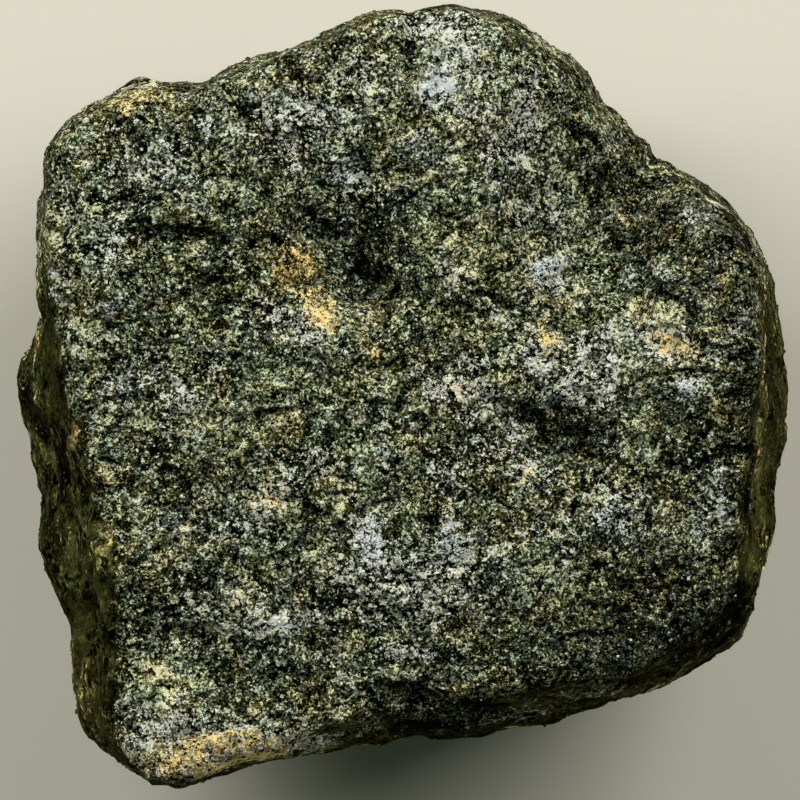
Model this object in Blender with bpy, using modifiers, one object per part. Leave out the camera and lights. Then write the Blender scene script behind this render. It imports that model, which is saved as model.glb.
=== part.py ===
"""Ilmenite hand specimen: one broken block of massive, granular iron-titanium ore.

The rock lies on the flat spot of its back with its broad front face up. +Z is up out of that
face, +X runs to its right and +Y to its top edge. The origin is on the flat spot, under the
centre of the rock's bounding box. Lengths are metres; lists of points are millimetres.
"""

import math

import bmesh
import bpy
import numpy as np
from mathutils import Vector, noise

MM = 0.001

# Driving dimensions
FACE_HEIGHT = 47.0 * MM
SKIRT_TAPER = 0.05
BURIED_DEPTH = 2.0 * MM
TARGET_TRIANGLES = 9200

# Mesh resolution
STEPS_AROUND = 260
SKIRT_STEPS = 14
SIDE_STEPS = 16
FACE_STEPS = 34
VOXEL = 0.9 * MM

# Corners of the rock's widest outline, seen from above, anticlockwise from the right side
GIRDLE_OUTLINE = [
    (38.5, -0.5), (38.0, 5.5), (37.5, 9.0), (37.0, 12.0), (36.0, 15.0), (33.5, 18.0),
    (29.5, 21.5), (28.0, 22.5), (25.0, 23.5), (24.0, 25.0), (23.5, 26.5), (19.5, 29.5),
    (19.0, 31.5), (17.5, 33.5), (15.5, 34.5), (11.5, 37.0), (10.0, 38.0), (7.0, 38.5),
    (0.0, 38.5), (-3.0, 38.5), (-7.0, 36.0), (-10.0, 34.5), (-14.0, 33.5), (-18.5, 32.0),
    (-20.5, 31.0), (-25.5, 31.5), (-29.0, 29.5), (-33.0, 27.5), (-35.0, 26.0), (-35.5, 22.5),
    (-36.0, 18.5), (-36.0, 16.0), (-35.5, 12.0), (-35.5, 9.0), (-36.5, 5.5), (-38.0, 2.0),
    (-38.0, -1.5), (-37.0, -3.5), (-36.5, -7.5), (-36.0, -10.5), (-36.5, -14.5), (-35.0, -19.0),
    (-33.0, -22.5), (-33.0, -30.5), (-31.5, -33.0), (-30.0, -35.0), (-27.5, -36.5),
    (-26.0, -38.0), (-23.0, -39.0), (-18.0, -37.5), (-9.5, -35.5), (-5.5, -34.5), (0.0, -34.0),
    (5.0, -34.0), (10.0, -33.0), (14.5, -32.5), (20.5, -30.5), (25.5, -29.0), (28.5, -28.0),
    (30.5, -26.0), (33.5, -24.5), (35.5, -21.5), (37.5, -15.5), (37.5, -9.5), (38.5, -5.0),
]

# Corners of the edge where the front face breaks to the sides
RIM_OUTLINE = [
    (35.0, -0.5), (35.5, 5.5), (35.0, 12.0), (33.0, 16.0), (29.5, 19.0), (26.5, 20.5),
    (23.5, 22.0), (20.5, 26.0), (17.5, 29.5), (15.5, 32.5), (12.5, 35.0), (9.5, 37.0),
    (4.0, 38.0), (-2.5, 37.5), (-6.5, 35.5), (-12.0, 33.0), (-17.0, 31.0), (-22.0, 29.5),
    (-27.5, 28.5), (-31.5, 27.0), (-34.0, 24.5), (-35.0, 20.0), (-35.5, 16.0), (-35.0, 10.5),
    (-33.5, 5.0), (-32.5, 0.0), (-31.0, -5.0), (-29.5, -12.0), (-28.5, -19.5), (-28.0, -27.0),
    (-28.0, -32.5), (-27.0, -36.0), (-24.0, -38.0), (-18.5, -37.0), (-11.5, -34.0),
    (-6.5, -32.0), (-2.0, -30.5), (5.0, -29.5), (12.5, -28.5), (20.5, -26.5), (27.0, -24.0),
    (31.5, -20.0), (33.5, -13.0), (34.0, -6.0),
]

# (angle round the rock in degrees, height of the widest outline in mm)
GIRDLE_HEIGHTS = [
    (0, 20), (25, 25), (40, 31), (52, 30), (62, 33), (78, 39), (100, 41), (125, 40),
    (145, 41), (162, 36), (170, 24), (185, 17), (205, 15), (222, 20), (236, 33), (250, 39),
    (265, 36), (285, 33), (305, 30), (322, 25), (340, 20),
]

# Broad swells and hollows of the front face, in mm and degrees:
# (what it is, x, y, length, width, direction of its length, height)
FACE_FORMS = [
    ("slope off the upper right", 27, 27, 17, 9.5, 45, -11.0),
    ("saddle under the notch", 21, 17, 9, 6, 60, -2.6),
    ("lobe at the right", 29, 13, 9, 6.5, -60, 2.2),
    ("ridge from the top edge", 8.5, 25, 14, 3.5, 92, 1.5),
    ("groove beside the ridge", 1.2, 36, 6, 1.3, 88, -1.4),
    ("top corner", 6, 37, 7, 4, 0, -1.8),
    ("middle hollow", -5.5, 14.5, 8.5, 4.6, -38, -3.6),
    ("floor of the hollow", -1.5, 9.5, 7, 3.4, -25, -1.8),
    ("swell under the hollow", -9.5, 6.0, 7, 3, 15, 1.5),
    ("upper left shoulder", -25, 24, 12, 6, 20, -2.0),
    ("left swell", -29, 15, 8, 5, 70, 0.8),
    ("left trough", -22, 4, 10, 3, 10, -1.1),
    ("centre swell", -6, -7, 13, 9, 10, 1.1),
    ("right hollow", 15.5, -3.2, 7, 4, -25, -2.4),
    ("knob over the right hollow", 18, 4.5, 8, 4, 15, 1.4),
    ("knob at the right", 27.5, 1.5, 5, 4, 40, 1.1),
    ("pit at the right", 28, -4.5, 4, 3, 0, -1.3),
    ("fall to the lower right", 31, -18, 14, 9, 60, -4.4),
    ("swell at the bottom", 2, -16, 12, 4.5, 0, 1.3),
    ("dark cave at the bottom", 3, -30, 6.5, 3.4, 12, -2.8),
    ("second cave", 18, -25.5, 6, 2.8, 18, -2.4),
    ("valley at the lower left", -17, -26.5, 8.5, 3, -12, -2.2),
    ("toe at the lower left", -20, -34, 9, 4.5, 8, 1.6),
    ("nick in the left edge", -34, 9, 4, 3, 0, -2.6),
    ("dish on the left", -24, -10, 6.5, 5, 0, -1.4),
    ("low ridge", -13, -11.5, 8, 1.8, 42, 0.9),
]

# Steps where the face has broken in plates, in mm and degrees:
# (x, y at the middle of its edge, length, direction of the edge, how far it drops below it)
FACE_LEDGES = [
    (-22.0, 16.6, 8.0, 172, 1.3),
    (-8.0, 20.5, 6.5, 160, 1.0),
    (-3.2, 12.2, 7.0, 150, 1.4),
    (-27.0, -0.5, 6.0, 168, 0.8),
    (-13.0, -2.0, 9.0, 8, 0.8),
    (14.0, -0.6, 8.0, 160, 1.2),
    (26.5, 0.2, 6.0, 30, 1.0),
    (20.0, -9.0, 8.0, 40, 0.9),
    (1.0, -21.5, 12.0, 8, 1.2),
    (16.0, -21.5, 9.0, 15, 1.3),
    (-17.0, -23.0, 8.0, 172, 1.2),
    (26.0, -13.5, 7.0, 55, 0.8),
    (12.0, 14.5, 7.0, 100, 0.8),
    (-19.0, -17.0, 7.0, 15, 0.6),
]
LEDGE_FACE = 0.5 * MM
LEDGE_FADE = 5.0 * MM

# Flat breaks of the sides and back: (direction it faces, degrees that it leans in at the
# foot, distance of its foot from the axis in mm)
BREAKS = [
    (6, 13, 31), (44, 27, 29), (78, 12, 32), (112, 25, 30), (146, 15, 33), (190, 22, 29),
    (229, 12, 34), (268, 24, 28), (312, 16, 31), (340, 30, 28),
    (24, 49, 21), (128, 45, 22), (209, 53, 19), (290, 47, 21),
    (82, 66, 17), (165, 64, 19), (248, 68, 17), (330, 63, 18),
]

# Shallow scars on the sides and back, in mm: (x, y, z, reach, depth)
SCARS = [
    (-37, -6, 26, 8, 1.5), (-34, -22, 30, 7, 1.3), (-33, -30, 14, 10, 2.2), (-36, 14, 14, 12, 2.6),
    (-22, 33, 24, 9, 2.0), (4, 38, 20, 13, 2.8), (27, 27, 16, 10, 2.2), (38, 8, 10, 10, 2.2),
    (37, -8, 32, 8, 1.2), (36, -20, 10, 9, 2.0), (18, -32, 14, 12, 2.6), (-8, -35, 20, 10, 2.2),
    (-24, -37, 22, 7, 1.3), (14, 6, 0, 8, 1.2), (-26, 4, 6, 9, 1.8), (8, -20, 4, 9, 1.6),
]

# Roughness of the whole surface: (size of its plates or lumps in mm, height in mm)
PLATES = [(13.0, 0.72), (5.2, 0.34)]
LUMPS = [(10.0, 0.34), (3.4, 0.18)]

ORE_COLOUR = (0.075, 0.080, 0.055, 1.0)
ORE_ROUGHNESS = 0.55
ORE_METALLIC = 0.25


def clear_scene():
    for obj in list(bpy.data.objects):
        bpy.data.objects.remove(obj, do_unlink=True)


def collection(name):
    made = bpy.data.collections.new(name)
    bpy.context.scene.collection.children.link(made)
    return made


def smoothstep(value, low, high):
    t = np.clip((value - low) / (high - low), 0.0, 1.0)
    return t * t * (3.0 - 2.0 * t)


def outline_radius(points_mm, angles):
    """Distance of a closed outline from the rock's axis, at each angle."""
    x, y = np.array(points_mm).T * MM
    return np.interp(angles, np.arctan2(y, x), np.hypot(x, y), period=2.0 * math.pi)


def girdle_height(angles):
    degrees, heights = np.array(GIRDLE_HEIGHTS, float).T
    return np.interp(np.degrees(angles), degrees, heights, period=360.0) * MM


def turned(x, y, centre_x, centre_y, degrees):
    """Coordinates along and across a direction, from a centre in mm."""
    turn = math.radians(degrees)
    dx, dy = x - centre_x * MM, y - centre_y * MM
    along = dx * math.cos(turn) + dy * math.sin(turn)
    across = dy * math.cos(turn) - dx * math.sin(turn)
    return along, across


def face_height(x, y):
    """Height of the front face: its level, its swells and hollows, and its ledges."""
    z = np.full_like(x, FACE_HEIGHT)
    for _, cx, cy, length, width, direction, height in FACE_FORMS:
        along, across = turned(x, y, cx, cy, direction)
        z += height * MM * np.exp(-((along / (length * MM)) ** 2 + (across / (width * MM)) ** 2))
    for cx, cy, length, direction, drop in FACE_LEDGES:
        along, across = turned(x, y, cx, cy, direction)
        side = np.sign(math.cos(math.radians(direction)) or 1.0)
        below = -across * side
        fall = smoothstep(below, -LEDGE_FACE, LEDGE_FACE) * (1.0 - smoothstep(below, 0.0, LEDGE_FADE))
        z -= drop * MM * fall * np.exp(-((2.0 * along / (length * MM)) ** 2))
    return z


def block_rings():
    """Rings of points from under the table up to the middle of the front face."""
    angles = np.linspace(0.0, 2.0 * math.pi, STEPS_AROUND, endpoint=False)
    girdle, rim = outline_radius(GIRDLE_OUTLINE, angles), outline_radius(RIM_OUTLINE, angles)
    low = girdle_height(angles)
    cos, sin = np.cos(angles), np.sin(angles)

    rings = []
    for t in np.linspace(0.0, 1.0, SKIRT_STEPS, endpoint=False):
        radius = girdle * (1.0 - SKIRT_TAPER * (1.0 - t) ** 2)
        rings.append((radius * cos, radius * sin, -BURIED_DEPTH + (low + BURIED_DEPTH) * t))
    high = face_height(rim * cos, rim * sin)
    for t in np.linspace(0.0, 1.0, SIDE_STEPS, endpoint=False):
        radius = girdle + (rim - girdle) * t ** 1.4
        rings.append((radius * cos, radius * sin, low + (high - low) * t))
    for t in np.linspace(1.0, 0.0, FACE_STEPS, endpoint=False):
        radius = rim * t
        rings.append((radius * cos, radius * sin, face_height(radius * cos, radius * sin)))
    return [np.stack(ring, axis=1) for ring in rings]


def lofted_block():
    """The block as it was before it broke: the rings joined into one closed skin."""
    rings = block_rings()
    bm = bmesh.new()
    loops = [[bm.verts.new(point) for point in ring] for ring in rings]
    for lower, upper in zip(loops, loops[1:]):
        for i in range(STEPS_AROUND):
            k = (i + 1) % STEPS_AROUND
            bm.faces.new((lower[i], lower[k], upper[k], upper[i]))
    bm.faces.new(list(reversed(loops[0])))
    middle = bm.verts.new(Vector(rings[-1].mean(axis=0)))
    for i in range(STEPS_AROUND):
        bm.faces.new((loops[-1][i], loops[-1][(i + 1) % STEPS_AROUND], middle))
    return bm


def break_off(bm):
    """Breaks the sides and back along flat planes that leave the widest outline whole."""
    angles = np.linspace(0.0, 2.0 * math.pi, STEPS_AROUND, endpoint=False)
    radius = outline_radius(GIRDLE_OUTLINE, angles)
    girdle = np.stack([radius * np.cos(angles), radius * np.sin(angles), girdle_height(angles)], axis=1)
    for facing, lean, foot in BREAKS:
        a, s = math.radians(facing), math.radians(lean)
        normal = Vector((math.cos(a) * math.cos(s), math.sin(a) * math.cos(s), -math.sin(s)))
        distance = max(foot * MM * math.cos(s), float((girdle @ np.array(normal)).max()))
        geometry = bm.verts[:] + bm.edges[:] + bm.faces[:]
        bmesh.ops.bisect_plane(
            bm, geom=geometry, plane_co=normal * distance, plane_no=normal, clear_outer=True
        )
        rim = [edge for edge in bm.edges if edge.is_boundary]
        if rim:
            bmesh.ops.holes_fill(bm, edges=rim)


def evaluated_mesh(obj):
    graph = bpy.context.evaluated_depsgraph_get()
    return bpy.data.meshes.new_from_object(obj.evaluated_get(graph), depsgraph=graph)


def even_skin(obj):
    """Replaces the mesh with one of even small faces, so that roughness can be carved in it."""
    remesh = obj.modifiers.new("even_skin", "REMESH")
    remesh.mode = "VOXEL"
    remesh.voxel_size = VOXEL
    mesh = evaluated_mesh(obj)
    obj.modifiers.remove(remesh)
    obj.data = mesh


def plate_height(point, size):
    """Height between -1 and 1 of hackly plates: each cell of the rock is a small tilted plane."""
    scaled = point / size
    distances, centres = noise.voronoi(scaled)
    tilt = noise.cell_vector(centres[0] * 7.31)
    edge = min(1.0, (distances[1] - distances[0]) * 4.0)
    return (scaled - centres[0]).dot(tilt) * 2.0 * edge


def roughness(point):
    height = 0.0
    for size, depth in PLATES:
        height += depth * MM * plate_height(point, size * MM)
    for size, depth in LUMPS:
        height += depth * MM * noise.fractal(point / (size * MM), 0.9, 2.1, 3)
    return height


def roughen(mesh):
    """Moves every point along its normal: plates and lumps all over, scars on the sides."""
    count = len(mesh.vertices)
    places = np.empty(count * 3)
    normals = np.empty(count * 3)
    mesh.vertices.foreach_get("co", places)
    mesh.vertex_normals.foreach_get("vector", normals)
    places, normals = places.reshape(-1, 3), normals.reshape(-1, 3)
    depth = np.array([roughness(Vector(place)) for place in places])
    for x, y, z, reach, scar in SCARS:
        away = np.linalg.norm(places - np.array((x, y, z)) * MM, axis=1) / (reach * MM)
        depth -= scar * MM * np.exp(-((away / 0.7) ** 4))
    places += normals * depth[:, None]
    mesh.vertices.foreach_set("co", places.ravel())
    mesh.update()


def base_cutter(helpers):
    """A slab under the table, which leaves the rock its flat spot."""
    bpy.ops.mesh.primitive_cube_add(size=1.0)
    slab = bpy.context.object
    slab.name = "under_table"
    slab.scale = (0.2, 0.2, 0.02)
    slab.location = (0.0, 0.0, -0.01)
    slab.hide_render = True
    slab.display_type = "WIRE"
    for owner in list(slab.users_collection):
        owner.objects.unlink(slab)
    helpers.objects.link(slab)
    return slab


def thin_out(rock, slab):
    """Fewer triangles where the skin is flat, then the flat spot that the rock rests on."""
    decimate = rock.modifiers.new("fewer_faces", "DECIMATE")
    rock.data.calc_loop_triangles()
    decimate.ratio = TARGET_TRIANGLES / len(rock.data.loop_triangles)
    flat = rock.modifiers.new("flat_spot", "BOOLEAN")
    flat.operation = "DIFFERENCE"
    flat.object = slab


def ore_material():
    material = bpy.data.materials.new("ilmenite_ore")
    material.use_nodes = True
    shader = material.node_tree.nodes["Principled BSDF"]
    shader.inputs["Base Color"].default_value = ORE_COLOUR
    shader.inputs["Roughness"].default_value = ORE_ROUGHNESS
    shader.inputs["Metallic"].default_value = ORE_METALLIC
    return material


def centre_over_origin(rock):
    """Puts the origin under the middle of the bounding box."""
    bpy.context.view_layer.update()
    mesh = evaluated_mesh(rock)
    places = np.empty(len(mesh.vertices) * 3)
    mesh.vertices.foreach_get("co", places)
    places = places.reshape(-1, 3)
    middle = (places.min(axis=0) + places.max(axis=0)) / 2.0
    rock.location = (-middle[0], -middle[1], 0.0)
    bpy.data.meshes.remove(mesh)


def build_rock():
    parts, helpers = collection("ilmenite_specimen"), collection("cutters")
    bm = lofted_block()
    break_off(bm)
    bmesh.ops.recalc_face_normals(bm, faces=bm.faces[:])
    mesh = bpy.data.meshes.new("ilmenite_rock")
    bm.to_mesh(mesh)
    bm.free()
    rock = bpy.data.objects.new("ilmenite_rock", mesh)
    parts.objects.link(rock)
    even_skin(rock)
    roughen(rock.data)
    thin_out(rock, base_cutter(helpers))
    rock.data.materials.clear()
    rock.data.materials.append(ore_material())
    centre_over_origin(rock)
    return rock


clear_scene()
build_rock()
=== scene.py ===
"""Looks of the ilmenite hand specimen: its granular broken skin, its loose grains and the studio."""
import math

import bmesh
import bpy
import numpy as np
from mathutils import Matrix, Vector, noise


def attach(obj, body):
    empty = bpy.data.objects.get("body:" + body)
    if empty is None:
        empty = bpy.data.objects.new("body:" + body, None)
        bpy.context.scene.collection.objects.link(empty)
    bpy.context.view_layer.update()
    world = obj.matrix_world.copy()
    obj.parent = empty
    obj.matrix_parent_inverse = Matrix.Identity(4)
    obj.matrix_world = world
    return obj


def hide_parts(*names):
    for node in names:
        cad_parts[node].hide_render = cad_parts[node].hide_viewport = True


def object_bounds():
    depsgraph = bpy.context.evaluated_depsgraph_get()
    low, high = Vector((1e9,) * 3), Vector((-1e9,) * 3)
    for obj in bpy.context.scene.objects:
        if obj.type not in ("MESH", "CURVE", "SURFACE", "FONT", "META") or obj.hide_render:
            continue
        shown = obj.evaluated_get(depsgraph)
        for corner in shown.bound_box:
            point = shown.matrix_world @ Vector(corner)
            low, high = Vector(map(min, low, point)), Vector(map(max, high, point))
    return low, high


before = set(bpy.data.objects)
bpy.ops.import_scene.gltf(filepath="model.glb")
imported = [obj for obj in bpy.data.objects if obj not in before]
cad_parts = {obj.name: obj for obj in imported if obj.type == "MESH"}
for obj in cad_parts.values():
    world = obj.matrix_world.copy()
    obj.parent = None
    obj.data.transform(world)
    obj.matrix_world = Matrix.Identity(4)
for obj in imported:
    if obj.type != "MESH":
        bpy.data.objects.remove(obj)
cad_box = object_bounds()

MM = 0.001
SEED = 1779

# Skin of the rock: how fine and smooth it is, how far out it lies, and what keeps it on the floor
WELD_REACH = 0.01 * MM
VOXEL = 1.25 * MM
SMOOTHING_STEPS = 3
SKIN_LIFT = 0.20 * MM
HIGHEST_REACH = 1.0 * MM
BASE_LEVEL = 0.2 * MM
LOWEST_POINT = 0.05 * MM

# Front face: the least tilt and height of its faces, and the heights in which its marks fade out
FACE_TILT = 0.34
FACE_FLOOR = 0.024
FACE_FADE = (0.020, 0.030)

# Relief of the skin: (size of its plates or lumps in mm, height in mm)
PLATES = [(3.4, 0.46), (1.5, 0.20)]
LUMPS = [(3.0, 0.40), (0.9, 0.11)]
PLATE_SEED = 7.31
PLATE_EDGE = 5.0

# Steps and cracks of the skin: spacing, height and depth in mm
TERRACE_SPACING = 5.0
TERRACE_HEIGHT = 0.62
TERRACE_CLIFF = 0.08
TERRACE_SHIFT = (3.0, 7.0, 1.0)
CRACK_SPACING = 4.2
CRACK_DEPTH = 0.5
CRACK_WIDTH = 0.07
CRACK_SHIFT = (9.0, 2.0, 5.0)

# Finest relief of the skin, in mm: its grains, and a random shake of every point
GRAIN_SIZE = 0.55
GRAIN_HEIGHT = 0.06
GRAIN_JITTER = 0.018

# Share of the relief that a steep face has, what a level one has besides, and the tilts between them
STEEP_RELIEF = 0.42
LEVEL_RELIEF = 0.58
RELIEF_TILT = (0.2, 0.7)

# Edges and hollows: how many rounds of smoothing tell them from the rest, wide ones and fine ones
WIDE_STEPS = 40
FINE_STEPS = 6

# How far a point stands out or lies in before it counts, in mm, and in metres for a pit
EDGE_RANGE = (0.06, 0.35)
HOLLOW_RANGE = (0.05, 0.30)
FINE_BULGE_RANGE = (0.03, 0.12)
PIT_RANGE = (0.3 * MM, 0.9 * MM)

# How much light mineral shows on edges by wear and on bare sides, how much painted highlight the fine
# edges get, and how much painted shade darkens each kind of hollow
EDGE_HIGHLIGHT = 0.4
EDGE_WEAR_AND_HIGHLIGHT = 0.45
BARE_PALE = 0.45
BARE_RANGE = (0.48, 0.62)
HOLLOW_SHADE = 0.4
PIT_SHADE = 0.4
CREVICE_SHADE = 0.7

# Random fields that break up the marks and vary the lightness: size, octaves, shift
RAGGED_FIELD = (1.3 * MM, 3, 4.0)
BROAD_FIELD = (9.0 * MM, 3, 11.0)

# Tilts between faces without and with the painted minerals and their painted shade and glints
FRONT_TILT = (0.0, 0.3)

# Weathering: tilts between weathered and fresh faces, and how much of it a mineral or a break keeps off
WEATHERED_TILT = (0.15, 0.50)
MINERAL_FRESH = 0.8
BREAK_FRESH = 0.8

# Broken top end of the rock, which is less weathered: where it begins in y and in z
BREAK_Y = (0.006, 0.016)
BREAK_Z = (0.012, 0.026)

# Small pits and lumps of the front face, in mm and degrees:
# (x, y, length, width, direction, height)
SMALL_FORMS = [
    (-22.0, 16.3, 3.4, 0.7, -4, -0.9),
    (-17.5, 17.6, 2.2, 0.7, 30, -0.6),
    (-8.2, 17.6, 2.6, 1.0, -35, -0.8),
    (-3.4, 12.6, 2.4, 1.0, -40, -0.9),
    (0.7, 34.8, 4.5, 0.5, 88, -0.7),
    (11.9, -1.6, 2.4, 0.8, -30, -0.7),
    (15.9, -4.6, 2.2, 1.3, -30, -0.8),
    (-0.4, -29.6, 3.2, 0.9, 10, -0.7),
    (3.2, -32.0, 3.6, 0.8, 8, -0.7),
    (16.7, -24.6, 2.8, 0.9, 15, -0.7),
    (-13.0, -1.8, 4.0, 0.5, 10, -0.5),
    (24.0, -0.8, 2.6, 0.6, 25, -0.6),
    (5.0, -17.0, 3.0, 0.5, -5, -0.4),
    (-3.5, -13.0, 2.0, 0.5, 20, -0.4),
    (20.0, -14.0, 2.5, 0.6, 45, -0.5),
    (-20.0, -14.5, 2.5, 0.5, 30, -0.4),
    (-30.0, 5.5, 1.6, 0.8, 70, -0.6),
    (9.0, 16.0, 3.0, 0.5, 75, 0.4),
    (23.8, 24.6, 1.3, 1.1, 0, 0.9),
    (26.0, 22.4, 1.4, 1.0, -40, 0.7),
    (28.6, 20.6, 1.8, 1.0, -35, 0.5),
    (21.6, 28.0, 1.6, 1.2, -50, 0.4),
    (34.6, 12.0, 1.4, 2.0, 0, 0.4),
]

# Ledges of the front face with a shaded foot below them, in mm and degrees:
# (x, y, half length, direction, half height)
LEDGES = [
    (-21.8, 17.0, 3.8, -6, 0.42),
    (-8.4, 18.2, 3.0, -30, 0.35),
    (-4.0, 13.4, 3.6, -35, 0.40),
    (-13.0, -1.2, 4.6, 8, 0.32),
    (12.8, -0.8, 4.0, -20, 0.36),
    (16.4, -3.4, 3.2, -25, 0.38),
    (25.0, 2.2, 3.4, 15, 0.35),
    (6.2, -28.9, 2.6, 4, 0.40),
    (-1.5, -28.4, 3.6, 8, 0.35),
    (17.0, -23.6, 3.6, 12, 0.38),
    (4.0, -18.2, 4.0, -6, 0.30),
    (-22.0, -14.0, 4.0, 14, 0.28),
    (-3.0, -10.6, 3.4, 20, 0.28),
    (20.5, -12.6, 3.4, 30, 0.32),
    (-27.5, 7.6, 3.0, 18, 0.28),
    (0.5, 22.6, 4.0, -12, 0.28),
]
LEDGE_LIP = 2.6
LEDGE_FOOT = 1.2
LEDGE_BEND = 0.05

# Where the weathered rind of the two sides begins, in mm: (y, x) up the left and the right of the face
RIND_LEFT = [
    (-38.4, -26.2), (-36.4, -27.6), (-32.4, -28.8), (-26.0, -28.4), (-16.4, -28.5), (-14.4, -29.2),
    (-10.4, -30.6), (-5.4, -31.6), (0.0, -33.2), (4.6, -34.0), (9.6, -35.0), (11.0, -37.0), (13.0, -42.0),
]
RIND_RIGHT = [
    (-27.0, 31.4), (-24.4, 32.8), (-15.4, 33.3), (-10.4, 33.8), (-5.4, 34.3), (0.0, 35.0), (4.6, 35.6),
    (7.6, 36.4), (10.0, 42.0),
]
RIND_RAGGED = 1.6
RIND_FADE = 0.4

# Patches of the skin's minerals, with painted shade in the dark ones and painted glints in some pale and
# blue ones, in mm and degrees: (x, y, length, width, direction, strength)
RUST = [
    (-10.8, 12.8, 2.4, 1.9, -35, 1.2), (-8.2, 8.4, 1.7, 2.5, 20, 0.75), (-9.2, 10.4, 1.6, 1.6, 0, 0.8),
    (14.6, 5.4, 1.1, 1.5, 0, 0.9), (-2.8, 4.0, 1.0, 2.2, 20, 0.5), (10.6, 18.0, 1.4, 3.0, 10, 0.35),
    (24.0, 17.5, 6.0, 3.6, -35, 0.30), (31.5, 11.5, 2.0, 3.5, 0, 0.35), (-26.6, 29.6, 5.0, 1.2, 18, 0.5),
    (-18.0, -35.6, 6.0, 2.0, 5, 1.6), (26.6, 5.4, 2.6, 1.2, -25, 0.8), (6.2, -28.9, 1.1, 0.45, 0, 1.0),
    (13.0, -8.0, 1.6, 1.2, 0, 0.4), (-13.0, -10.2, 3.0, 1.3, 45, 0.4), (4.4, 0.8, 1.8, 1.6, 0, 0.35),
    (-29.5, -14.0, 1.2, 3.0, 10, 0.5), (18.0, -30.4, 3.0, 0.7, 15, 0.3), (21.0, 23.5, 3.0, 2.0, 40, 0.3),
]
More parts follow.
